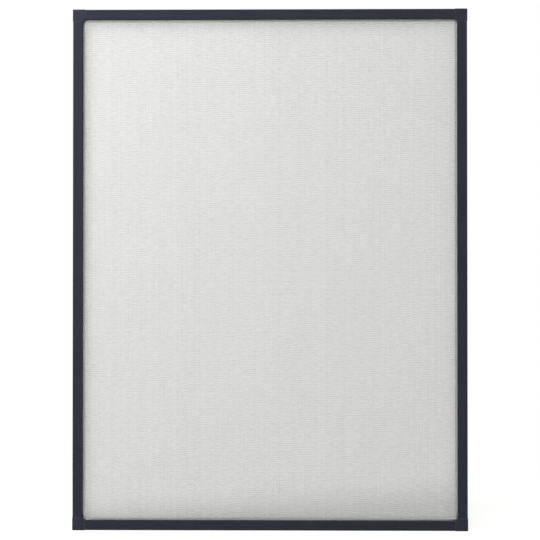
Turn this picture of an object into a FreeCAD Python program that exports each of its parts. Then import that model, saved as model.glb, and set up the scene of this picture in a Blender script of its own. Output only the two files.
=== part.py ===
# Window screen frame, millimetres.
# Four hollow extruded rails with square-cut ends are joined by four moulded corner pieces, whose
# ribbed tangs go into the rails. Insect mesh is stretched over the rails' lips and tucked into
# their grooves, where four lengths of ribbed cord hold it.
# The origin is the centre of the whole frame. +X is to the right, +Z is up, and the face with the
# grooves and cords looks along -Y. Each sub-part is drawn in a frame of its own and placed in it.
import FreeCAD, Part
import math
import os
import Sketcher

V = FreeCAD.Vector

SIZES = [
    ("overall_width", 800, "over the corner pieces"),
    ("overall_height", 1056, "over the corner pieces"),
    ("profile_depth", 11, "front of the corner pieces to the back face"),
    ("rail_setback", 0.6, "rail's outer face behind the corner piece's"),
    ("face_setback", 0.2, "rail's front face behind the corner piece's"),
    ("chamber_width", 19.8, "raised hollow part of a rail"),
    ("wall", 1.2, "wall of an extrusion"),
    ("groove_width", 3.6, "groove for the cord"),
    ("groove_depth", 4.0, "groove below the top of the lip"),
    ("lip_wall", 1.0, "lip that the mesh runs over, fully rounded at its top"),
    ("ledge_drop", 5.0, "top of the lip behind the corner piece's front"),
    ("outer_round", 1.5, "outer front edge of the rails and corner pieces"),
    ("inner_round", 0.8, "inner front edge of the rails and corner pieces"),
    ("back_round", 0.5, "back edges of a rail's chamber"),
    ("corner_round", 1.2, "upright outer edge of a corner piece"),
    ("butt_gap", 0.1, "rail's end to the corner piece"),
    ("tang_length", 34, "from the head of a corner piece to a tang's tip"),
    ("tang_clearance", 0.1, "crush ribs to the inside of the rail, each side"),
    ("tang_rib_height", 0.9, "crush rib above the tang's core"),
    ("tang_rib_width", 1.4, "along the tang"),
    ("tang_rib_pitch", 5.5, "along the tang"),
    ("tang_taper", 1.5, "bevel round a tang's tip"),
    ("mesh_wall", 0.3, "thickness of the mesh"),
    ("mesh_tail", 1.0, "mesh left standing beside the cord, above its centre"),
    ("mesh_end_gap", 0.5, "end of the tucked mesh or cord to the rail's end"),
    ("ridge_height", 0.15, "woven ridge above the mesh's wall"),
    ("ridge_width", 4.0, "woven ridge at its foot"),
    ("ridge_crown", 2.0, "woven ridge at its top"),
    ("ridge_pitch", 10.0, "woven ridges side by side on a bar"),
    ("bar_ridges", 2, "woven ridges on a bar"),
    ("bar_width", 20.0, "bar of mesh between two openings"),
    ("openings_across", 10, "openings of the drawn weave, far coarser than the real ones"),
    ("openings_up", 12, "openings of the drawn weave"),
    ("cord_clearance", 0.05, "cord to the tucked mesh"),
    ("cord_recess", 0.4, "cord's front behind the top of the lip"),
    ("cord_flutes", 10, "flutes round the cord"),
    ("flute_radius", 0.3, "flute along the cord"),
]

# Lines of the rail's section, in words of the sheet. The first ones are distances inwards from the
# outer face of the corner pieces, the others are places from the front (-Y) to the back (+Y).
OUTER = "sizes.rail_setback"
INNER = "(sizes.rail_setback + sizes.chamber_width)"
LIP = "(" + INNER + " + sizes.groove_width)"
HEAD = "(" + LIP + " + sizes.lip_wall)"
GROOVE_MIDDLE = "(" + INNER + " + sizes.groove_width / 2)"
HEAD_FRONT = "(0 - sizes.profile_depth / 2)"
FRONT = "(sizes.face_setback - sizes.profile_depth / 2)"
BACK = "(sizes.profile_depth / 2)"
LEDGE = "(sizes.ledge_drop - sizes.profile_depth / 2)"
FLOOR = "(" + LEDGE + " + sizes.groove_depth)"
MESH_FRONT = "(" + LEDGE + " - sizes.mesh_wall)"
TUCK_RADIUS = "(sizes.groove_width / 2)"
TUCK_HOLLOW = "(" + TUCK_RADIUS + " - sizes.mesh_wall)"
CORD_RADIUS = "(" + TUCK_HOLLOW + " - sizes.cord_clearance)"
CORD_MIDDLE = "(" + LEDGE + " + sizes.cord_recess + " + CORD_RADIUS + ")"

HALF_WIDTH = "(sizes.overall_width / 2)"
HALF_HEIGHT = "(sizes.overall_height / 2)"
RAIL_RUN_X = "(sizes.overall_width - 2 * (" + HEAD + " + sizes.butt_gap))"
RAIL_RUN_Z = "(sizes.overall_height - 2 * (" + HEAD + " + sizes.butt_gap))"
TUCK_RUN_X = "(" + RAIL_RUN_X + " - 2 * sizes.mesh_end_gap)"
TUCK_RUN_Z = "(" + RAIL_RUN_Z + " - 2 * sizes.mesh_end_gap)"
MESH_HALF_X = "(" + HALF_WIDTH + " - " + LIP + " + sizes.mesh_wall)"
MESH_HALF_Z = "(" + HALF_HEIGHT + " - " + LIP + " + sizes.mesh_wall)"
OPEN_HALF_X = "(" + HALF_WIDTH + " - " + HEAD + ")"
OPEN_HALF_Z = "(" + HALF_HEIGHT + " - " + HEAD + ")"
STEP_X = "((2 * " + OPEN_HALF_X + " - sizes.bar_width) / sizes.openings_across)"
STEP_Z = "((2 * " + OPEN_HALF_Z + " - sizes.bar_width) / sizes.openings_up)"

# A side's turn about Y takes the left side's frame, inwards +X and along +Z, to that side.
SIDE_TURNS = {"left": 0, "bottom": -90, "right": 180, "top": 90}


def make_sheet(doc):
    sheet = doc.addObject("Spreadsheet::Sheet", "sizes")
    for row, (alias, size, note) in enumerate(SIZES, start=1):
        sheet.set("A%d" % row, alias)
        sheet.set("B%d" % row, str(size))
        sheet.setAlias("B%d" % row, alias)
        sheet.set("C%d" % row, note)
    return sheet


def new_body(doc, label):
    body = doc.addObject("PartDesign::Body", label)
    body.Label = label
    return body


def origin_feature(body, role):
    for feature in body.Origin.OriginFeatures:
        if feature.Role == role:
            return feature


def value(body, words):
    return float(body.evalExpression(words))


def new_sketch(body, name, plane, lift="0"):
    # lift moves the sketch off its plane, along the plane's normal.
    sketch = body.newObject("Sketcher::SketchObject", name)
    sketch.AttachmentSupport = [(origin_feature(body, plane), "")]
    sketch.MapMode = "FlatFace"
    sketch.setExpression("AttachmentOffset.Base.z", lift)
    return sketch


def draw_loop(body, sketch, loop):
    # A closed outline of corners (x, y). From a corner (x, y, cx, cy, turn) an arc about (cx, cy)
    # leads to the next corner, anticlockwise where turn is 1 and clockwise where it is -1.
    corners = [V(value(body, point[0]), value(body, point[1])) for point in loop]
    following = corners[1:] + corners[:1]
    ends = []
    for point, here, there in zip(loop, corners, following):
        if len(point) == 2:
            edge = sketch.addGeometry(Part.LineSegment(here, there), False)
            ends.append((edge, 1, 2))
            continue
        middle = V(value(body, point[2]), value(body, point[3]))
        first, last = (here, there) if point[4] > 0 else (there, here)
        start_angle = math.atan2(first.y - middle.y, first.x - middle.x)
        end_angle = math.atan2(last.y - middle.y, last.x - middle.x)
        if end_angle < start_angle:
            end_angle += 2 * math.pi
        circle = Part.Circle(middle, V(0, 0, 1), (here - middle).Length)
        edge = sketch.addGeometry(Part.ArcOfCircle(circle, start_angle, end_angle), False)
        ends.append((edge, 1, 2) if point[4] > 0 else (edge, 2, 1))
    for (edge, _, end), (next_edge, next_start, _) in zip(ends, ends[1:] + ends[:1]):
        sketch.addConstraint(Sketcher.Constraint("Coincident", edge, end, next_edge, next_start))
    for point, here, there, (edge, start, _) in zip(loop, corners, following, ends):
        hold(body, sketch, "DistanceX", edge, start, point[0])
        hold(body, sketch, "DistanceY", edge, start, point[1])
        if len(point) > 2 and abs(here.y - there.y) < 1e-6:
            hold(body, sketch, "DistanceY", edge, 3, point[3])
        elif len(point) > 2:
            hold(body, sketch, "DistanceX", edge, 3, point[2])


def hold(body, sketch, kind, edge, end, words):
    # Ties one coordinate of a point to the sheet, measured from the sketch's origin.
    constraint = Sketcher.Constraint(kind, -1, 1, edge, end, value(body, words))
    number = sketch.addConstraint(constraint)
    sketch.setExpression("Constraints[%d]" % number, words)


def draw_box(body, sketch, low_x, low_y, high_x, high_y):
    draw_loop(body, sketch, [(low_x, low_y), (high_x, low_y), (high_x, high_y), (low_x, high_y)])


def draw_circle(body, sketch, x, y, radius):
    middle = V(value(body, x), value(body, y))
    size = value(body, radius)
    circle = sketch.addGeometry(Part.Circle(middle, V(0, 0, 1), size), False)
    number = sketch.addConstraint(Sketcher.Constraint("Radius", circle, size))
    sketch.setExpression("Constraints[%d]" % number, radius)
    hold(body, sketch, "DistanceX", circle, 3, x)
    hold(body, sketch, "DistanceY", circle, 3, y)


def extrude(body, kind, name, sketch, length, reverse=False, middle=False):
    feature = body.newObject("PartDesign::" + kind, name)
    feature.Profile = sketch
    feature.setExpression("Length", length)
    feature.Reversed = reverse
    feature.SideType = "Symmetric" if middle else "One side"
    sketch.Visibility = False
    return feature


def cut(doc, body, name, sketch, length, reverse=False, middle=False):
    # A pocket that points away from the solid removes nothing and raises nothing.
    before = body.Shape.Volume
    feature = extrude(body, "Pocket", name, sketch, length, reverse, middle)
    doc.recompute()
    if body.Shape.Volume >= before:
        raise RuntimeError(body.Label + ": " + name + " removes nothing")
    return feature


def place(body, turn, x, y, z):
    body.Placement = FreeCAD.Placement(V(), FreeCAD.Rotation(V(0, 1, 0), turn))
    body.setExpression("Placement.Base.x", x)
    body.setExpression("Placement.Base.y", y)
    body.setExpression("Placement.Base.z", z)


def place_on_side(body, side, inset, y, run_x, run_z):
    # inset is the distance inwards, and the run is centred on its side.
    low_x = "0 - " + HALF_WIDTH + " + " + inset
    high_x = HALF_WIDTH + " - " + inset
    low_z = "0 - " + HALF_HEIGHT + " + " + inset
    high_z = HALF_HEIGHT + " - " + inset
    places = {
        "left": (low_x, "0 - " + run_z + " / 2"),
        "bottom": (run_x + " / 2", low_z),
        "right": (high_x, run_z + " / 2"),
        "top": ("0 - " + run_x + " / 2", high_z),
    }
    place(body, SIDE_TURNS[side], places[side][0], y, places[side][1])


def make_rail(doc, side, run_x, run_z):
    # The section: a hollow chamber, and beside it the lower channel for the cord and its lip.
    body = new_body(doc, side + "_rail")
    section = new_sketch(body, "section", "XY_Plane")
    lip_middle = LIP + " + sizes.lip_wall / 2"
    lip_shoulder = LEDGE + " + sizes.lip_wall / 2"
    under = FLOOR + " + sizes.wall"
    draw_loop(body, section, [
        (OUTER, FRONT + " + sizes.outer_round",
         OUTER + " + sizes.outer_round", FRONT + " + sizes.outer_round", 1),
        (OUTER + " + sizes.outer_round", FRONT),
        (INNER + " - sizes.inner_round", FRONT,
         INNER + " - sizes.inner_round", FRONT + " + sizes.inner_round", 1),
        (INNER, FRONT + " + sizes.inner_round"),
        (INNER, FLOOR),
        (LIP, FLOOR),
        (LIP, lip_shoulder, lip_middle, lip_shoulder, 1),
        (HEAD, lip_shoulder),
        (HEAD, under),
        (INNER, under),
        (INNER, BACK + " - sizes.back_round",
         INNER + " - sizes.back_round", BACK + " - sizes.back_round", 1),
        (INNER + " - sizes.back_round", BACK),
        (OUTER + " + sizes.back_round", BACK,
         OUTER + " + sizes.back_round", BACK + " - sizes.back_round", 1),
        (OUTER, BACK + " - sizes.back_round"),
    ])
    draw_box(body, section, OUTER + " + sizes.wall", FRONT + " + sizes.wall",
             INNER + " - sizes.wall", BACK + " - sizes.wall")
    extrude(body, "Pad", "extrusion", section, run_x if side in ("top", "bottom") else run_z)
    place_on_side(body, side, "0", "0", run_x, run_z)
    return body


def make_tang(doc, body, number, plane, swap):
    # One tang: a core, crush ribs across it and a bevelled tip. The other tang is drawn with the
    # two directions of its section swapped.
    def draw_section(sketch, spare):
        low_x = OUTER + " + sizes.wall + " + spare
        high_x = INNER + " - sizes.wall - " + spare
        low_y = FRONT + " + sizes.wall + " + spare
        high_y = BACK + " - sizes.wall - " + spare
        if swap:
            draw_box(body, sketch, low_y, low_x, high_y, high_x)
        else:
            draw_box(body, sketch, low_x, low_y, high_x, high_y)

    core_spare = "(sizes.tang_clearance + sizes.tang_rib_height)"
    core = new_sketch(body, "core_section_%d" % number, plane, HEAD)
    draw_section(core, core_spare)
    bar = extrude(body, "Pad", "core_%d" % number, core, "sizes.tang_length")
    doc.recompute()
    tip = value(body, HEAD + " + sizes.tang_length")
    edges = []
    for index, edge in enumerate(body.Shape.Edges, start=1):
        reach = [vertex.Point.x if swap else vertex.Point.z for vertex in edge.Vertexes]
        if min(reach) > tip - 1e-6:
            edges.append("Edge%d" % index)
    bevel = body.newObject("PartDesign::Chamfer", "tip_%d" % number)
    bevel.Base = (bar, edges)
    bevel.setExpression("Size", "sizes.tang_taper")
    doc.recompute()
    rib = new_sketch(body, "rib_section_%d" % number, plane, HEAD + " + sizes.tang_rib_pitch / 2")
    draw_section(rib, "sizes.tang_clearance")
    first = extrude(body, "Pad", "rib_%d" % number, rib, "sizes.tang_rib_width")
    doc.recompute()
    count = "floor((sizes.tang_length - sizes.tang_taper) / sizes.tang_rib_pitch)"
    repeat(doc, body, "tang_%d_ribs" % number, first, [(rib, "N_Axis", "sizes.tang_rib_pitch", count)])


def make_corner(doc, upper, side, turn, x, z):
    # Drawn as the bottom left one: a square head, its inner corner cut back behind a diagonal to
    # the level of the rails' lips, and two tangs.
    body = new_body(doc, upper + "_" + side + "_corner")
    outline = new_sketch(body, "head_outline", "XZ_Plane", "0 - " + BACK)
    draw_loop(body, outline, [
        ("sizes.corner_round", "0"),
        (HEAD, "0"),
        (HEAD, HEAD),
        ("0", HEAD),
        ("0", "sizes.corner_round", "sizes.corner_round", "sizes.corner_round", 1),
    ])
    head = extrude(body, "Pad", "head", outline, "sizes.profile_depth")
    doc.recompute()
    shelf = new_sketch(body, "shelf_outline", "XZ_Plane", "0 - " + HEAD_FRONT)
    draw_loop(body, shelf, [(HEAD, INNER), (HEAD, HEAD), (INNER, HEAD)])
    level = cut(doc, body, "shelf", shelf, "sizes.ledge_drop")
    front = value(body, HEAD_FRONT)
    inner = value(body, INNER)
    head_size = value(body, HEAD)
    outer_edges = []
    diagonal = []
    for index, edge in enumerate(body.Shape.Edges, start=1):
        points = [vertex.Point for vertex in edge.Vertexes]
        if max(point.y for point in points) > front + 1e-6:
            continue
        if min(point.x + point.z for point in points) > inner + head_size - 1e-6:
            diagonal.append("Edge%d" % index)
        elif all(min(point.x, point.z) < value(body, "sizes.corner_round") + 1e-6 for point in points):
            outer_edges.append("Edge%d" % index)
    rim = body.newObject("PartDesign::Fillet", "outer_edges")
    rim.Base = (level, outer_edges)
    rim.setExpression("Radius", "sizes.outer_round")
    doc.recompute()
    make_tang(doc, body, 1, "XY_Plane", False)
    make_tang(doc, body, 2, "YZ_Plane", True)
    place(body, turn, x, "0", z)
    return body


def make_cord(doc, side, run_x, run_z):
    # A round cord with flutes along it, drawn about its own axis.
    body = new_body(doc, side + "_spline")
    run = run_x if side in ("top", "bottom") else run_z
    section = new_sketch(body, "section", "XY_Plane")
    draw_circle(body, section, "0", "0", CORD_RADIUS)
    extrude(body, "Pad", "cord", section, run)
    doc.recompute()
    flute = new_sketch(body, "flute_section", "XY_Plane")
    draw_circle(body, flute, CORD_RADIUS, "0", "sizes.flute_radius")
    first = cut(doc, body, "flute", flute, run, reverse=True)
    ring = body.newObject("PartDesign::PolarPattern", "flutes")
    ring.Originals = [first]
    ring.Axis = (flute, ["N_Axis"])
    ring.Angle = 360
    ring.setExpression("Occurrences", "sizes.cord_flutes")
    body.Tip = ring
    doc.recompute()
    place_on_side(body, side, GROOVE_MIDDLE, CORD_MIDDLE, run_x, run_z)
    return body


def tuck_loop(low, sign, swap):
    # The mesh's edge in a groove: down the lip, round the cord, and up beside the chamber. low is
    # the outer face of the corner pieces, and sign leads inwards from it.
    def across(inset):
        return low + sign + inset

    outside = across(LIP)
    far_side = across(INNER)
    hollow_near = across("(" + LIP + " - sizes.mesh_wall)")
    hollow_far = across("(" + INNER + " + sizes.mesh_wall)")
    middle = across(GROOVE_MIDDLE)
    tail = CORD_MIDDLE + " - sizes.mesh_tail"
    loop = [
        (outside, LEDGE),
        (outside, CORD_MIDDLE, middle, CORD_MIDDLE, 1),
        (far_side, CORD_MIDDLE),
        (far_side, tail),
        (hollow_far, tail),
        (hollow_far, CORD_MIDDLE, middle, CORD_MIDDLE, -1),
        (hollow_near, CORD_MIDDLE),
        (hollow_near, LEDGE),
    ]
    if not swap:
        return loop
    turned = []
    for point in loop:
        if len(point) == 2:
            turned.append((point[1], point[0]))
        else:
            turned.append((point[1], point[0], point[3], point[2], -point[4]))
    return turned


def make_mesh(doc):
    body = new_body(doc, "insect_mesh")
    # The wall lies on the lips and ends where it turns down into the grooves.
    outline = new_sketch(body, "wall_outline", "XZ_Plane", "0 - " + LEDGE)
    draw_box(body, outline, "0 - " + MESH_HALF_X, "0 - " + MESH_HALF_Z, MESH_HALF_X, MESH_HALF_Z)
    extrude(body, "Pad", "wall", outline, "sizes.mesh_wall")
    doc.recompute()

    # Tucked edges, left and bottom, each mirrored to the side across from it.
    for name, plane, low, swap, run, mirror in (
            ("left", "XY_Plane", "0 - " + HALF_WIDTH, False, TUCK_RUN_Z, "YZ_Plane"),
            ("bottom", "YZ_Plane", "0 - " + HALF_HEIGHT, True, TUCK_RUN_X, "XY_Plane")):
        section = new_sketch(body, name + "_tuck_section", plane)
        draw_loop(body, section, tuck_loop(low, " + ", swap))
        tuck = extrude(body, "Pad", name + "_tuck", section, run, middle=True)
        doc.recompute()
        other = body.newObject("PartDesign::Mirrored", name + "_tuck_mirrored")
        other.Originals = [tuck]
        other.MirrorPlane = (origin_feature(body, mirror), [""])
        body.Tip = other
        doc.recompute()

    # Openings right through the wall, which leave bars between them: the weave's two directions,
    # drawn coarser than the real yarns.
    low_x = "(0 - " + OPEN_HALF_X + " + sizes.bar_width)"
    low_z = "(0 - " + OPEN_HALF_Z + " + sizes.bar_width)"
    hole = new_sketch(body, "opening_outline", "XZ_Plane", "0 - " + LEDGE)
    draw_box(body, hole, low_x, low_z, low_x + " + " + STEP_X + " - sizes.bar_width",
             low_z + " + " + STEP_Z + " - sizes.bar_width")
    opening = cut(doc, body, "opening", hole, "sizes.mesh_wall", reverse=True)
    repeat(doc, body, "openings", opening, [(hole, "H_Axis", STEP_X, "sizes.openings_across"),
                                            (hole, "V_Axis", STEP_Z, "sizes.openings_up")])

    # Ridges along the bars: upright ones on the front, over the whole wall, and level ones on the
    # back, between the lips.
    warp = new_sketch(body, "warp_section", "XY_Plane")
    draw_loop(body, warp, ridge_loop(first_ridge(OPEN_HALF_X), MESH_FRONT, " - "))
    upright = extrude(body, "Pad", "warp_ridge", warp, "2 * " + MESH_HALF_Z, middle=True)
    repeat(doc, body, "warp_ridges", upright, [(warp, "H_Axis", "sizes.ridge_pitch", "sizes.bar_ridges"),
                                               (warp, "H_Axis", STEP_X, "sizes.openings_across + 1")])
    weft = new_sketch(body, "weft_section", "YZ_Plane")
    turned = [(y, z) for z, y in ridge_loop(first_ridge(OPEN_HALF_Z), LEDGE, " + ")]
    draw_loop(body, weft, turned)
    weft_run = "2 * (" + OPEN_HALF_X + " - sizes.mesh_end_gap)"
    level = extrude(body, "Pad", "weft_ridge", weft, weft_run, middle=True)
    repeat(doc, body, "weft_ridges", level, [(weft, "V_Axis", "sizes.ridge_pitch", "sizes.bar_ridges"),
                                             (weft, "V_Axis", STEP_Z, "sizes.openings_up + 1")])
    return body


def first_ridge(half):
    # The bar nearest the opening's edge carries its ridges side by side about its middle.
    row = "(sizes.bar_ridges - 1) * sizes.ridge_pitch / 2"
    return "(0 - " + half + " + sizes.bar_width / 2 - " + row + ")"


def ridge_loop(middle, foot, sign):
    top = foot + sign + "sizes.ridge_height"
    loop = [
        (middle + " - sizes.ridge_width / 2", foot),
        (middle + " + sizes.ridge_width / 2", foot),
        (middle + " + sizes.ridge_crown / 2", top),
        (middle + " - sizes.ridge_crown / 2", top),
    ]
    return loop


def repeat(doc, body, name, original, directions):
    # A row of copies along each direction (sketch, axis, pitch, count). Two directions make a grid.
    rows = []
    for number, (sketch, axis, pitch, count) in enumerate(directions, start=1):
        row = body.newObject("PartDesign::LinearPattern", "%s_%d" % (name, number))
        row.Direction = (sketch, [axis])
        row.Mode = "Spacing"
        row.setExpression("Offset", pitch)
        row.setExpression("Occurrences", count)
        rows.append(row)
    last = rows[0]
    if len(rows) > 1:
        last = body.newObject("PartDesign::MultiTransform", name)
        last.Transformations = rows
    last.Originals = [original]
    body.Tip = last
    doc.recompute()


def main():
    doc = FreeCAD.newDocument("window_screen_frame")
    make_sheet(doc)
    doc.recompute()
    bodies = []
    for side in SIDE_TURNS:
        bodies.append(make_rail(doc, side, RAIL_RUN_X, RAIL_RUN_Z))
        bodies.append(make_cord(doc, side, TUCK_RUN_X, TUCK_RUN_Z))
    corners = [
        ("bottom", "left", 0, "0 - " + HALF_WIDTH, "0 - " + HALF_HEIGHT),
        ("bottom", "right", -90, HALF_WIDTH, "0 - " + HALF_HEIGHT),
        ("top", "right", 180, HALF_WIDTH, HALF_HEIGHT),
        ("top", "left", 90, "0 - " + HALF_WIDTH, HALF_HEIGHT),
    ]
    for corner in corners:
        bodies.append(make_corner(doc, *corner))
    bodies.append(make_mesh(doc))
    doc.recompute()
    for item in doc.Objects:
        if "Invalid" in item.State or "Error" in item.State:
            raise RuntimeError(item.Label + " failed")
    for body in bodies:
        if body.Shape.isNull() or not body.Shape.isValid():
            raise RuntimeError(body.Label + " has no valid shape")
    os.makedirs("parts", exist_ok=True)
    for body in bodies:
        body.Shape.exportStep("parts/" + body.Label + ".step")
        box = body.Shape.BoundBox
        print("%-20s %9.0f mm3  X %7.1f %7.1f  Y %6.2f %6.2f  Z %7.1f %7.1f" % (
            body.Label, body.Shape.Volume, box.XMin, box.XMax, box.YMin, box.YMax, box.ZMin, box.ZMax))


main()
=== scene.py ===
import bpy
import bmesh
import math
import random
from mathutils import Matrix, Vector


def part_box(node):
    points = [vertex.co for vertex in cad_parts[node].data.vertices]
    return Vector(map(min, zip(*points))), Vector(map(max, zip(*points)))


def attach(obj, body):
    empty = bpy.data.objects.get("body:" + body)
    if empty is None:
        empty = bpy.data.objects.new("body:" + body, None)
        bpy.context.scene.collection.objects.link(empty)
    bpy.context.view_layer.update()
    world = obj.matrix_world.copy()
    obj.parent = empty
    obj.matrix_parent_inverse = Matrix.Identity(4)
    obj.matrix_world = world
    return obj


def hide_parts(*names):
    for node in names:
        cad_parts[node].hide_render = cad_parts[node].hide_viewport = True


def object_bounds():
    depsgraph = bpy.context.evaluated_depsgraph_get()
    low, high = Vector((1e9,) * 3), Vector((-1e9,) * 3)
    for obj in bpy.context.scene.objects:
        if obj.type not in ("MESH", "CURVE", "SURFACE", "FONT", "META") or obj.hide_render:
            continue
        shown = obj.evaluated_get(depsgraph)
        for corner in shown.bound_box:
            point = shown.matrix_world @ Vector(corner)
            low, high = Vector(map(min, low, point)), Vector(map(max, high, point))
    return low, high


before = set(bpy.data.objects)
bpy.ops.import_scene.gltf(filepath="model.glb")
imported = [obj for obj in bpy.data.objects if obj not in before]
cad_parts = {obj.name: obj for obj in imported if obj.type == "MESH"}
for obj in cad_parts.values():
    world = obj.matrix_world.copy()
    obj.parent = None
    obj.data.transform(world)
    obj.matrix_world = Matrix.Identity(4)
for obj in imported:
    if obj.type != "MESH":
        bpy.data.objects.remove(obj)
cadLow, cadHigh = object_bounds()
mm = 0.001

# Upright window screen, front towards -Y: anthracite rails and corner pieces, pale insect mesh
# stretched over the rails' lips, and a fluted cord pressed over it into each rail's groove.
section = {
    "width": cadHigh.x - cadLow.x,
    "height": cadHigh.z - cadLow.z,
    "head": 25.0 * mm,         # corner piece, outer face to the inner edge of the rails' lips
    "lip": 24.0 * mm,          # groove side of the lip, from the outer face
    "groove": 20.4 * mm,       # chamber side of the groove, from the outer face
    "lipTop": cadLow.y + 5.0 * mm,
    "cordRecess": 0.4 * mm,    # cord's front behind the top of the lip
    "meshWall": 0.3 * mm,
    "cordClearance": 0.05 * mm,
}
section["openWidth"] = section["width"] - 2 * section["head"]
section["openHeight"] = section["height"] - 2 * section["head"]
section["middle"] = (section["lip"] + section["groove"]) / 2    # of the groove, and of the cord
section["tuckRadius"] = (section["lip"] - section["groove"]) / 2 - section["meshWall"] / 2
section["cordRadius"] = section["tuckRadius"] - section["meshWall"] / 2 - section["cordClearance"]
section["cordMiddle"] = section["lipTop"] + section["cordRecess"] + section["cordRadius"]
sides = ("left", "bottom", "right", "top")


def hexColour(text):
    # sRGB hex to the linear values that the shaders take.
    channels = [int(text[i:i + 2], 16) / 255 for i in (1, 3, 5)]
    linear = [c / 12.92 if c <= 0.04045 else ((c + 0.055) / 1.055) ** 2.4 for c in channels]
    return (*linear, 1.0)


def addNode(tree, kind, settings, links):
    # A setting goes to the socket of that name or number, or else to the node itself.
    node = tree.nodes.new(kind)
    for name, value in settings.items():
        if isinstance(name, int) or name in node.inputs:
            node.inputs[name].default_value = value
        else:
            setattr(node, name, value)
    for socket, source in links.items():
        tree.links.new(source, node.inputs[socket])
    return node


def newMaterial(name):
    material = bpy.data.materials.new(name)
    material.use_nodes = True
    material.node_tree.nodes.clear()
    return material, material.node_tree


def meshObject(name, mesh):
    piece = bpy.data.objects.new(name, mesh)
    bpy.context.collection.objects.link(piece)
    return piece


# Materials

powderCoat = {
    "dark": "#292b36", "light": "#2f313c",
    "driftMm": 60,         # slow change of tone along a rail
    "peelMm": 0.9,         # orange peel of a baked powder coat
    "peelDepthMm": 0.02,
    "roughness": 0.52,
    "roughnessSpread": 0.05,
    "specular": 0.1,
    "jointHighlight": "#8f9095",   # painted highlight along a rail end's joint, coloured like bare metal
    "jointHighlightMm": 0.14,
}


def powderCoatedAluminium():
    # Polyester powder baked on aluminium: satin, faintly uneven like orange peel, with a painted
    # highlight: a hairline the colour of bare metal at each rail's end, along its joint with a corner
    # piece.
    material, tree = newMaterial("powderCoatedAluminium")
    place = addNode(tree, "ShaderNodeTexCoord", {}, {})
    drift = addNode(tree, "ShaderNodeTexNoise",
                    {"Scale": 1000 / powderCoat["driftMm"], "Detail": 3.0},
                    {"Vector": place.outputs["Object"]})
    coat = addNode(tree, "ShaderNodeMix", {"data_type": "RGBA", 6: hexColour(powderCoat["dark"]),
                                           7: hexColour(powderCoat["light"])},
                   {0: drift.outputs["Fac"]})
    mirrored = addNode(tree, "ShaderNodeVectorMath", {"operation": "ABSOLUTE"},
                       {0: place.outputs["Object"]})
    parts = addNode(tree, "ShaderNodeSeparateXYZ", {}, {0: mirrored.outputs[0]})
    # Painted highlight: a hairline at each rail's end, where it meets a corner piece.
    jointLines = []
    for axis, end in (("X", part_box("top_rail")[1].x), ("Z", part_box("left_rail")[1].z)):
        jointLines.append(addNode(tree, "ShaderNodeMath", {"operation": "COMPARE", 1: end,
                                                     2: powderCoat["jointHighlightMm"] * mm},
                            {0: parts.outputs[axis]}))
    highlit = addNode(tree, "ShaderNodeMath", {"operation": "MAXIMUM"},
                   {0: jointLines[0].outputs[0], 1: jointLines[1].outputs[0]})
    tone = addNode(tree, "ShaderNodeMix", {"data_type": "RGBA", 7: hexColour(powderCoat["jointHighlight"])},
                   {0: highlit.outputs[0], 6: coat.outputs[2]})
    peel = addNode(tree, "ShaderNodeTexNoise", {"Scale": 1000 / powderCoat["peelMm"], "Detail": 2.0},
                   {"Vector": place.outputs["Object"]})
    bump = addNode(tree, "ShaderNodeBump",
                   {"Distance": powderCoat["peelDepthMm"] * mm, "Strength": 0.6},
                   {"Height": peel.outputs["Fac"]})
    spread = powderCoat["roughnessSpread"]
    gloss = addNode(tree, "ShaderNodeMapRange", {"To Min": powderCoat["roughness"] - spread,
                                                 "To Max": powderCoat["roughness"] + spread},
                    {"Value": peel.outputs["Fac"]})
    shader = addNode(tree, "ShaderNodeBsdfPrincipled", {"Specular IOR Level": powderCoat["specular"]},
                     {"Base Color": tone.outputs[2], "Roughness": gloss.outputs[0],
                      "Normal": bump.outputs["Normal"]})
    addNode(tree, "ShaderNodeOutputMaterial", {}, {"Surface": shader.outputs["BSDF"]})
    return material


cornerPlastic = {
    "dark": "#2c2d38", "light": "#343540",
    "mottleMm": 9,         # flow marks of the moulding
    "grainMm": 0.7,        # spark-eroded grain of the mould
    "grainDepthMm": 0.03,
    "roughness": 0.62,
    "specular": 0.1,
}


def mouldedNylon():
    # Glass-filled nylon from a grained mould: matter and a shade lighter than the coated rails.
    material, tree = newMaterial("mouldedNylon")
    place = addNode(tree, "ShaderNodeTexCoord", {}, {})
    mottle = addNode(tree, "ShaderNodeTexNoise",
                     {"Scale": 1000 / cornerPlastic["mottleMm"], "Detail": 4.0},
                     {"Vector": place.outputs["Object"]})
    tone = addNode(tree, "ShaderNodeMix", {"data_type": "RGBA", 6: hexColour(cornerPlastic["dark"]),
                                           7: hexColour(cornerPlastic["light"])},
                   {0: mottle.outputs["Fac"]})
    grain = addNode(tree, "ShaderNodeTexVoronoi", {"Scale": 1000 / cornerPlastic["grainMm"]},
                    {"Vector": place.outputs["Object"]})
    bump = addNode(tree, "ShaderNodeBump",
                   {"Distance": cornerPlastic["grainDepthMm"] * mm, "Strength": 0.7},
                   {"Height": grain.outputs["Distance"]})
    shader = addNode(tree, "ShaderNodeBsdfPrincipled",
                     {"Specular IOR Level": cornerPlastic["specular"],
                      "Roughness": cornerPlastic["roughness"]},
                     {"Base Color": tone.outputs[2], "Normal": bump.outputs["Normal"]})
    addNode(tree, "ShaderNodeOutputMaterial", {}, {"Surface": shader.outputs["BSDF"]})
    return material


cordVinyl = {
    "dark": "#c8c8c0", "light": "#e6e6df",
    "mottleMm": 5,         # dust and handling along the cord
    "mottleDepthMm": 0.05,
    "roughness": 0.62,
}


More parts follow.
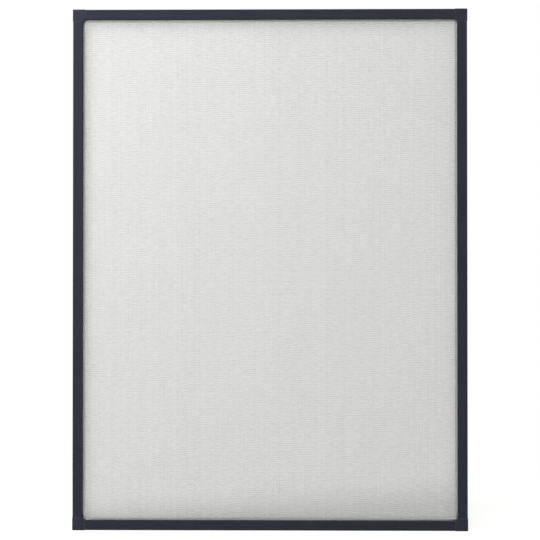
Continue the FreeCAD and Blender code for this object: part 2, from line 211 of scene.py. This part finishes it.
def softVinyl():
    # Extruded soft PVC: pale warm grey, dull, faintly mottled where it was rolled into the groove.
    material, tree = newMaterial("softVinyl")
    place = addNode(tree, "ShaderNodeTexCoord", {}, {})
    mottle = addNode(tree, "ShaderNodeTexNoise", {"Scale": 1000 / cordVinyl["mottleMm"], "Detail": 5.0,
                                                  "Roughness": 0.65},
                     {"Vector": place.outputs["Object"]})
    tone = addNode(tree, "ShaderNodeMix", {"data_type": "RGBA", 6: hexColour(cordVinyl["dark"]),
                                           7: hexColour(cordVinyl["light"])},
                   {0: mottle.outputs["Fac"]})
    bump = addNode(tree, "ShaderNodeBump",
                   {"Distance": cordVinyl["mottleDepthMm"] * mm, "Strength": 0.5},
                   {"Height": mottle.outputs["Fac"]})
    shader = addNode(tree, "ShaderNodeBsdfPrincipled", {"Roughness": cordVinyl["roughness"]},
                     {"Base Color": tone.outputs[2], "Normal": bump.outputs["Normal"]})
    addNode(tree, "ShaderNodeOutputMaterial", {}, {"Surface": shader.outputs["BSDF"]})
    return material


meshYarn = {
    "dark": "#aeaeac", "light": "#f2f2f0",
    "cloudMm": 70,           # slow unevenness of the coating over the sheet
    "cloudShare": 0.08,
    "slubMm": (14, 2.6),     # a thicker or thinner place, along a yarn and across the sheet
    "slubShare": 1.5,        # how much of dark to light it changes, on the level yarns
    "barMm": 4.2,            # lighter and darker yarns, wider apart than the real ones to show
    "barShare": 0.5,
    "barPatchMm": (26, 60),  # how soon the bars fall out of step, along a yarn and across the sheet
    "barSlip": 3,            # bars by which they do
    "roughness": 0.5,
}


def coatedGlassYarn():
    # Glass yarn in a pale vinyl coat. The yarns' tones and the thicker places along them give the
    # sheet the short level lines of a plain weave. Each point of a yarn carries yarnRun, which is its
    # place along the yarn and across the sheet in metres and its liveliness, and yarnTone.
    material, tree = newMaterial("coatedGlassYarn")
    place = addNode(tree, "ShaderNodeTexCoord", {}, {})
    run = addNode(tree, "ShaderNodeAttribute", {"attribute_name": "yarnRun"}, {})
    own = addNode(tree, "ShaderNodeAttribute", {"attribute_name": "yarnTone"}, {})
    parts = addNode(tree, "ShaderNodeSeparateXYZ", {}, {0: run.outputs["Vector"]})
    noise = {}
    for use in ("slubMm", "barPatchMm"):
        along, across = meshYarn[use]
        scaled = addNode(tree, "ShaderNodeVectorMath",
                         {"operation": "MULTIPLY", 1: (1000 / along, 1000 / across, 0)},
                         {0: run.outputs["Vector"]})
        noise[use] = addNode(tree, "ShaderNodeTexNoise",
                             {"noise_dimensions": "2D", "Scale": 1.0, "Detail": 1.0},
                             {"Vector": scaled.outputs[0]})
    cloud = addNode(tree, "ShaderNodeTexNoise",
                    {"Scale": 1000 / meshYarn["cloudMm"], "Detail": 2.0},
                    {"Vector": place.outputs["Object"]})
    step = addNode(tree, "ShaderNodeMath",
                   {"operation": "MULTIPLY", 1: 2 * math.pi * 1000 / meshYarn["barMm"]},
                   {0: parts.outputs["Y"]})
    phase = addNode(tree, "ShaderNodeMath",
                    {"operation": "MULTIPLY_ADD", 1: 2 * math.pi * meshYarn["barSlip"]},
                    {0: noise["barPatchMm"].outputs["Fac"], 2: step.outputs[0]})
    bar = addNode(tree, "ShaderNodeMath", {"operation": "SINE"}, {0: phase.outputs[0]})
    barTone = addNode(tree, "ShaderNodeMath", {"operation": "MULTIPLY", 1: meshYarn["barShare"]},
                      {0: bar.outputs[0]})
    half = meshYarn["slubShare"] / 2
    slubTone = addNode(tree, "ShaderNodeMapRange", {"To Min": -half, "To Max": half},
                       {"Value": noise["slubMm"].outputs["Fac"]})
    fine = addNode(tree, "ShaderNodeMath", {"operation": "ADD"},
                   {0: barTone.outputs[0], 1: slubTone.outputs[0]})
    half = meshYarn["cloudShare"] / 2
    cloudTone = addNode(tree, "ShaderNodeMapRange", {"To Min": -half, "To Max": half},
                        {"Value": cloud.outputs["Fac"]})
    slow = addNode(tree, "ShaderNodeMath", {"operation": "ADD"},
                   {0: cloudTone.outputs[0], 1: own.outputs["Fac"]})
    blend = addNode(tree, "ShaderNodeMath", {"operation": "MULTIPLY_ADD"},
                    {0: fine.outputs[0], 1: parts.outputs["Z"], 2: slow.outputs[0]})
    tone = addNode(tree, "ShaderNodeMix", {"data_type": "RGBA", 6: hexColour(meshYarn["dark"]),
                                           7: hexColour(meshYarn["light"])},
                   {0: blend.outputs[0]})
    shader = addNode(tree, "ShaderNodeBsdfPrincipled", {"Roughness": meshYarn["roughness"]},
                     {"Base Color": tone.outputs[2]})
    addNode(tree, "ShaderNodeOutputMaterial", {}, {"Surface": shader.outputs["BSDF"]})
    return material


railFinish = powderCoatedAluminium()
cornerFinish = mouldedNylon()
cordFinish = softVinyl()
yarnFinish = coatedGlassYarn()
print("materials made")


# Rails and corner pieces keep their CAD solids and take their finish here.

for nodeName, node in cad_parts.items():
    if nodeName.endswith("_rail"):
        finish = railFinish
    elif nodeName.endswith("_corner"):
        finish = cornerFinish
    else:
        continue
    node.data.materials.clear()
    node.data.materials.append(finish)
print("rails and corner pieces finished")


# Cord in each groove

cord = {
    "flutes": 10,
    "fluteDepth": 0.22 * mm,
    "aroundPoints": 40,
    "step": 18 * mm,       # length between cross sections
    "sink": 0.12 * mm,     # how unevenly the roller pressed it in
    "endGap": 0.6 * mm,    # cord's end to the corner piece
    "seed": 40,            # and one more for each side
}


def sideTurn(side):
    # Takes the left side's frame, inwards +X and along +Z, to another side.
    degrees = {"left": 0, "bottom": -90, "right": 180, "top": 90}[side]
    return Matrix.Rotation(math.radians(degrees), 4, "Y")


def sidePlace(side):
    # The middle of the outer face of the corner pieces on that side.
    inwards = sideTurn(side) @ Vector((1, 0, 0))
    half = Vector((section["width"] / 2, 0, section["height"] / 2))
    return Vector((-inwards.x * half.x, 0, -inwards.z * half.z))


def sideLength(side):
    return section["openHeight"] if side in ("left", "right") else section["openWidth"]


def makeCord(side, seed):
    # A fluted disc, drawn out along the groove in steps that sink in unevenly.
    shake = random.Random(seed)
    shape = bmesh.new()
    ring = bmesh.ops.create_circle(shape, cap_ends=True, segments=cord["aroundPoints"],
                                   radius=section["cordRadius"])["verts"]
    for vert in ring:
        around = math.atan2(vert.co.y, vert.co.x)
        groove = max(0.0, math.cos(around * cord["flutes"])) ** 2
        vert.co *= 1 - groove * cord["fluteDepth"] / section["cordRadius"]
    length = sideLength(side) - 2 * cord["endGap"]
    steps = round(length / cord["step"])
    bmesh.ops.translate(shape, verts=ring,
                        vec=(section["middle"], section["cordMiddle"], -length / 2))
    face = shape.faces[:]
    sink = 0.0
    for step in range(steps):
        grown = bmesh.ops.extrude_face_region(shape, geom=face)["geom"]
        if step:    # the first face stays, as the cord's end
            bmesh.ops.delete(shape, geom=face, context="FACES_ONLY")
        face = [item for item in grown if isinstance(item, bmesh.types.BMFace)]
        moved = [item for item in grown if isinstance(item, bmesh.types.BMVert)]
        nextSink = shake.uniform(0, cord["sink"]) if step < steps - 1 else 0.0
        bmesh.ops.translate(shape, verts=moved, vec=(0, nextSink - sink, length / steps))
        sink = nextSink
    bmesh.ops.recalc_face_normals(shape, faces=shape.faces)
    bmesh.ops.transform(shape, matrix=sideTurn(side), verts=shape.verts)
    bmesh.ops.translate(shape, verts=shape.verts, vec=sidePlace(side))
    mesh = bpy.data.meshes.new(side + "Cord")
    shape.to_mesh(mesh)
    shape.free()
    mesh.materials.append(cordFinish)
    mesh.shade_smooth()
    piece = meshObject(side + "Cord", mesh)
    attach(piece, "root")
    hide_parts(side + "_spline")


for number, side in enumerate(sides):
    makeCord(side, cord["seed"] + number)
print("cords pressed in")


# Insect mesh, yarn by yarn

weave = {
    "level": {                 # 16 to the inch, in front of the others
        "pitch": 1.59 * mm,
        "layer": 1.5,          # its middle from the lips' top, in yarns
        "ownTone": 0.02,       # spread of whole yarns' tones
        "liveliness": 1.0,     # how strongly the tone changes along a yarn
        "stretch": 1.0,        # under 1, a tone holds for longer along the yarn
        "seed": 7,
    },
    "upright": {               # 18 to the inch, on the lips
        "pitch": 1.41 * mm,
        "layer": 0.5,
        "ownTone": 0.09,
        "liveliness": 0.3,
        "stretch": 0.3,
        "seed": 11,
    },
    "middleTone": 0.5,         # halfway from meshYarn's dark to its light
    "yarnWide": 0.38 * mm,
    "yarnThick": 0.28 * mm,
    "tailLength": 1.1 * mm,    # standing beside the cord, above its centre
    "bendSteps": 3,            # round the cord
    "openSteps": 3,            # from a lip to the middle of the sheet
    "wander": 0.05 * mm,       # a yarn's place, off its pitch
    "bow": 0.15 * mm,          # a yarn's slow wave along its length
    "bowWaves": (0.6, 1.6),    # from the middle of the sheet to a rail
    "lipYarns": 4,             # bunched where the cord pulled the mesh over the lip
    "lipOverrun": 3.4 * mm,    # over a corner piece's shelf
    "grooveYarns": 4,
    "edgeLiveliness": 0.5,
    "lapOverCord": 9.2 * mm,   # mesh from the lip's inner edge to its cut end
}


def growYarn(shape, face, step):
    # The first step makes a box of 6 faces, of which the first stays as the yarn's cut end.
    grown = bmesh.ops.extrude_face_region(shape, geom=face)["geom"]
    if len(shape.faces) > 6:
        bmesh.ops.delete(shape, geom=face, context="FACES_ONLY")
    moved = [item for item in grown if isinstance(item, bmesh.types.BMVert)]
    bmesh.ops.translate(shape, verts=moved, vec=step)
    return [item for item in grown if isinstance(item, bmesh.types.BMFace)]


def bendYarn(shape, face, centre, angle, steps):
    spun = bmesh.ops.spin(shape, geom=face, cent=centre, axis=(0, 0, 1), angle=angle,
                          steps=steps)["geom_last"]
    bmesh.ops.delete(shape, geom=face, context="FACES_ONLY")
    return [item for item in spun if isinstance(item, bmesh.types.BMFace)]


def halfYarn(reach, openY):
    # One yarn from its cut end beside the cord to the middle of the sheet, in the frame of the
    # left side: X inwards from the outer face. openY is the y of its run across the opening.
    shape = bmesh.new()
    wide = weave["yarnWide"] / 2
    thick = weave["yarnThick"] / 2
    tailX = section["middle"] - section["tuckRadius"]
    legX = section["middle"] + section["tuckRadius"]
    corners = [(tailX - thick, -wide), (tailX + thick, -wide),
               (tailX + thick, wide), (tailX - thick, wide)]
    startY = section["cordMiddle"] - weave["tailLength"]
    face = [shape.faces.new([shape.verts.new((x, startY, z)) for x, z in corners])]
    face = growYarn(shape, face, (0, weave["tailLength"], 0))
    face = bendYarn(shape, face, (section["middle"], section["cordMiddle"], 0), -math.pi,
                    weave["bendSteps"])
    lipBend = section["meshWall"]
    face = growYarn(shape, face, (0, openY + lipBend - section["cordMiddle"], 0))
    face = bendYarn(shape, face, (legX + lipBend, openY + lipBend, 0), math.pi / 2, 1)
    for step in range(weave["openSteps"]):
        face = growYarn(shape, face, ((reach - legX - lipBend) / weave["openSteps"], 0, 0))
    bmesh.ops.delete(shape, geom=face, context="FACES_ONLY")
    return shape


def yarnSet(kind, side, span):
    # All yarns of one kind: one yarn from the given side to the opposite one, repeated across the
    # span, then each moved and bowed a little by its own amounts.
    reach = (section["width"] if side == "left" else section["height"]) / 2
    shape = halfYarn(reach, section["lipTop"] - kind["layer"] * weave["yarnThick"])
    merge = weave["yarnThick"] / 10
    bmesh.ops.mirror(shape, geom=shape.verts[:] + shape.edges[:] + shape.faces[:], axis="X",
                     matrix=Matrix.Translation((-reach, 0, 0)), merge_dist=merge)
    bmesh.ops.remove_doubles(shape, verts=shape.verts, dist=merge)
    bmesh.ops.recalc_face_normals(shape, faces=shape.faces)
    count = int(span / kind["pitch"])
    bmesh.ops.translate(shape, verts=shape.verts, vec=(-reach, 0, -(count - 1) / 2 * kind["pitch"]))
    single = bpy.data.meshes.new("oneYarn")
    shape.to_mesh(single)
    shape.free()
    carrier = meshObject("oneYarn", single)
    row = carrier.modifiers.new("row", "ARRAY")
    row.count = count
    row.use_relative_offset = False
    row.use_constant_offset = True
    row.constant_offset_displace = (0, 0, kind["pitch"])
    ready = carrier.evaluated_get(bpy.context.evaluated_depsgraph_get())
    mesh = bpy.data.meshes.new_from_object(ready)
    perYarn = len(single.vertices)
    bpy.data.objects.remove(carrier)
    shake = random.Random(kind["seed"])
    tones = mesh.attributes.new("yarnTone", "FLOAT", "POINT")
    runs = mesh.attributes.new("yarnRun", "FLOAT_VECTOR", "POINT")
    for number in range(count):
        shift = shake.gauss(0, weave["wander"])
        phase = shake.uniform(0, 2 * math.pi)
        waves = shake.uniform(*weave["bowWaves"])
        tone = weave["middleTone"] + shake.gauss(0, kind["ownTone"])
        for index in range(number * perYarn, (number + 1) * perYarn):
            co = mesh.vertices[index].co
            along = co.x / reach
            slack = max(0.0, 1 - along * along)
            runs.data[index].vector = (co.x * kind["stretch"], number * kind["pitch"],
                                       kind["liveliness"])
            tones.data[index].value = tone
            co.z += shift + weave["bow"] * slack * math.sin(phase + along * math.pi * waves)
    mesh.transform(sideTurn(side))
    return mesh


def edgeYarns(side):
    # The yarns that run along a groove in the tucked edge: flat ones bunched over the lip, and
    # others round the cord.
    shape = bmesh.new()
    half = weave["yarnThick"] / 2
    length = sideLength(side) - 2 * cord["endGap"]
    places = []
    for number in range(weave["lipYarns"]):
        share = number / (weave["lipYarns"] - 1)
        places.append((section["lip"] + half + share * (section["head"] - section["lip"] - half),
                       section["lipTop"] - half, length + 2 * weave["lipOverrun"]))
    for number in range(weave["grooveYarns"]):
        angle = math.pi * number / (weave["grooveYarns"] - 1)
        places.append((section["middle"] + section["tuckRadius"] * math.cos(angle),
                       section["cordMiddle"] + section["tuckRadius"] * math.sin(angle), length))
    for x, y, run in places:
        made = bmesh.ops.create_cube(shape, size=1.0)["verts"]
        perYarn = len(made)
        bmesh.ops.scale(shape, verts=made, vec=(weave["yarnThick"], half, run))
        bmesh.ops.translate(shape, verts=made, vec=(x, y, 0))
    bmesh.ops.transform(shape, matrix=sideTurn(side), verts=shape.verts)
    bmesh.ops.translate(shape, verts=shape.verts, vec=sidePlace(side))
    mesh = bpy.data.meshes.new("edgeYarns")
    shape.to_mesh(mesh)
    shape.free()
    tones = mesh.attributes.new("yarnTone", "FLOAT", "POINT")
    runs = mesh.attributes.new("yarnRun", "FLOAT_VECTOR", "POINT")
    for index, vert in enumerate(mesh.vertices):
        tones.data[index].value = weave["middleTone"]
        runs.data[index].vector = (vert.co.x + vert.co.z, index // perYarn * weave["level"]["pitch"],
                                   weave["edgeLiveliness"])
    return mesh


def makeInsectMesh():
    parts = [yarnSet(weave["level"], "left", section["openHeight"]),
             yarnSet(weave["upright"], "bottom", section["openWidth"])]
    parts += [edgeYarns(side) for side in sides]
    whole = bmesh.new()
    for part in parts:
        whole.from_mesh(part)
        bpy.data.meshes.remove(part)
    mesh = bpy.data.meshes.new("insectMesh")
    whole.to_mesh(mesh)
    whole.free()
    mesh.materials.append(yarnFinish)
    piece = meshObject("insectMesh", mesh)
    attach(piece, "root")
    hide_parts("insect_mesh")
    print("insect mesh:", len(mesh.polygons) * 2, "triangles")


makeInsectMesh()


# Studio

studio = {
    "floorHalf": 12.0,
    "floorPaint": "#b5b5b3",
    "floorGlow": 0.62,         # for direct view alone, so that the lit floor reads as white
    "floorFade": (0.55, 1.3),  # between these distances the view of it turns as white as the room
    "fill": 0.20,              # even light from the room
    "cardPaint": "#f4f4f3",
    "cardGap": 6.5 * mm,       # behind the back face
    "cardMargin": 5 * mm,
    "cardGlow": 0.19,
    "cardFoot": (-0.505, -0.435),  # painted shade above the bottom rail: heights between which the glow fades in
    "cardFootLean": 0.06,      # the painted shade rises to the right by this share
}

lights = {
    "softboxAbove": {"power": 380, "size": 3.0, "distance": 8.0, "azimuth": -20, "elevation": 60},
    "softboxLeft": {"power": 37, "size": 1.1, "distance": 2.25, "azimuth": -54, "elevation": 31},
    "softboxBehind": {"power": 220, "size": 3.0, "distance": 6.0, "azimuth": 155, "elevation": 30},
}


def sphereDirection(azimuth, elevation):
    turn = math.radians(azimuth)
    lift = math.radians(elevation)
    return Vector((math.sin(turn) * math.cos(lift), -math.cos(turn) * math.cos(lift),
                   math.sin(lift)))


def seenDirectly(tree):
    # 1 for camera, glossy and transmission rays, 0 for the rest.
    path = addNode(tree, "ShaderNodeLightPath", {}, {})
    both = addNode(tree, "ShaderNodeMath", {"operation": "MAXIMUM"},
                   {0: path.outputs["Is Camera Ray"], 1: path.outputs["Is Glossy Ray"]})
    return addNode(tree, "ShaderNodeMath", {"operation": "MAXIMUM"},
                   {0: both.outputs[0], 1: path.outputs["Is Transmission Ray"]})


def makeWorld():
    world = bpy.data.worlds.new("studioRoom")
    world.use_nodes = True
    tree = world.node_tree
    tree.nodes.clear()
    seen = seenDirectly(tree)
    strength = addNode(tree, "ShaderNodeMapRange", {"To Min": studio["fill"], "To Max": 1.0},
                       {"Value": seen.outputs[0]})
    glow = addNode(tree, "ShaderNodeBackground", {"Color": (1, 1, 1, 1)},
                   {"Strength": strength.outputs[0]})
    addNode(tree, "ShaderNodeOutputWorld", {}, {"Surface": glow.outputs[0]})
    bpy.context.scene.world = world


def makeFloor():
    shape = bmesh.new()
    bmesh.ops.create_grid(shape, x_segments=1, y_segments=1, size=studio["floorHalf"])
    bmesh.ops.translate(shape, verts=shape.verts, vec=(0, 0, cadLow.z))
    mesh = bpy.data.meshes.new("studioFloor")
    shape.to_mesh(mesh)
    shape.free()
    material, tree = newMaterial("paleFloor")
    place = addNode(tree, "ShaderNodeTexCoord", {}, {})
    far = addNode(tree, "ShaderNodeVectorMath", {"operation": "LENGTH"}, {0: place.outputs["Object"]})
    near, wide = studio["floorFade"]
    fade = addNode(tree, "ShaderNodeMapRange", {"From Min": near, "From Max": wide},
                   {"Value": far.outputs["Value"]})
    seen = seenDirectly(tree)
    strength = addNode(tree, "ShaderNodeMath", {"operation": "MULTIPLY", 1: studio["floorGlow"]},
                       {0: seen.outputs[0]})
    share = addNode(tree, "ShaderNodeMath", {"operation": "MULTIPLY"},
                    {0: seen.outputs[0], 1: fade.outputs[0]})
    paint = addNode(tree, "ShaderNodeBsdfDiffuse", {"Color": hexColour(studio["floorPaint"])}, {})
    glow = addNode(tree, "ShaderNodeEmission", {}, {"Strength": strength.outputs[0]})
    both = addNode(tree, "ShaderNodeAddShader", {}, {0: paint.outputs[0], 1: glow.outputs[0]})
    white = addNode(tree, "ShaderNodeEmission", {"Strength": 1.0}, {})
    whole = addNode(tree, "ShaderNodeMixShader", {},
                    {0: share.outputs[0], 1: both.outputs[0], 2: white.outputs[0]})
    addNode(tree, "ShaderNodeOutputMaterial", {}, {"Surface": whole.outputs[0]})
    mesh.materials.append(material)
    floor = meshObject("studioFloor", mesh)


def makeCard():
    # White card close behind the screen, which shows the mesh and takes the rails' soft shadows. Its
    # glow fades out near its foot, more on the right: painted shade above the bottom rail. It has a
    # front only, so the screen's back stays in view and in the light.
    shape = bmesh.new()
    bmesh.ops.create_grid(shape, x_segments=1, y_segments=1, size=0.5)
    bmesh.ops.scale(shape, verts=shape.verts,
                    vec=(section["width"] - 2 * studio["cardMargin"],
                         section["height"] - 2 * studio["cardMargin"], 1))
    bmesh.ops.rotate(shape, verts=shape.verts, matrix=Matrix.Rotation(math.radians(90), 3, "X"))
    bmesh.ops.translate(shape, verts=shape.verts, vec=(0, cadHigh.y + studio["cardGap"], 0))
    mesh = bpy.data.meshes.new("whiteCard")
    shape.to_mesh(mesh)
    shape.free()
    material, tree = newMaterial("mattWhiteCard")
    side = addNode(tree, "ShaderNodeNewGeometry", {}, {})
    paint = addNode(tree, "ShaderNodeBsdfDiffuse", {"Color": hexColour(studio["cardPaint"])}, {})
    place = addNode(tree, "ShaderNodeTexCoord", {}, {})
    # Painted shade: the glow fades out towards the card's foot, higher on the right.
    height = addNode(tree, "ShaderNodeVectorMath",
                     {"operation": "DOT_PRODUCT", 1: (-studio["cardFootLean"], 0, 1)},
                     {0: place.outputs["Object"]})
    low, high = studio["cardFoot"]
    strength = addNode(tree, "ShaderNodeMapRange",
                       {"interpolation_type": "SMOOTHSTEP", "From Min": low, "From Max": high,
                        "To Max": studio["cardGlow"]},
                       {"Value": height.outputs["Value"]})
    glow = addNode(tree, "ShaderNodeEmission", {}, {"Strength": strength.outputs[0]})
    both = addNode(tree, "ShaderNodeAddShader", {}, {0: paint.outputs[0], 1: glow.outputs[0]})
    clear = addNode(tree, "ShaderNodeBsdfTransparent", {}, {})
    front = addNode(tree, "ShaderNodeMixShader", {},
                    {0: side.outputs["Backfacing"], 1: both.outputs[0], 2: clear.outputs[0]})
    addNode(tree, "ShaderNodeOutputMaterial", {}, {"Surface": front.outputs[0]})
    mesh.materials.append(material)
    card = meshObject("whiteCard", mesh)
    card.visible_diffuse = False
    card.visible_glossy = False
    card.visible_shadow = False


def makeLights():
    for name, light in lights.items():
        data = bpy.data.lights.new(name, "AREA")
        data.shape = "SQUARE"
        data.size = light["size"]
        data.energy = light["power"]
        lamp = bpy.data.objects.new(name, data)
        direction = sphereDirection(light["azimuth"], light["elevation"])
        lamp.location = direction * light["distance"]
        lamp.rotation_euler = direction.to_track_quat("Z", "Y").to_euler()
        bpy.context.collection.objects.link(lamp)


camera = {
    "distance": 3.0,
    "azimuth": 0.87,       # a little to the right of the middle
    "elevation": -0.67,    # and a little below it
    "lens": 98.7,
    "aim": (0.0005, 0.0, -0.0013),
}


def makeCamera():
    data = bpy.data.cameras.new("camera")
    data.lens = camera["lens"]
    eye = bpy.data.objects.new("camera", data)
    direction = sphereDirection(camera["azimuth"], camera["elevation"])
    eye.location = Vector(camera["aim"]) + direction * camera["distance"]
    eye.rotation_euler = direction.to_track_quat("Z", "Y").to_euler()
    bpy.context.collection.objects.link(eye)
    bpy.context.scene.camera = eye


makeWorld()
makeFloor()
makeCard()
makeLights()
makeCamera()
bpy.context.scene.view_settings.view_transform = "Standard"
print("studio ready")
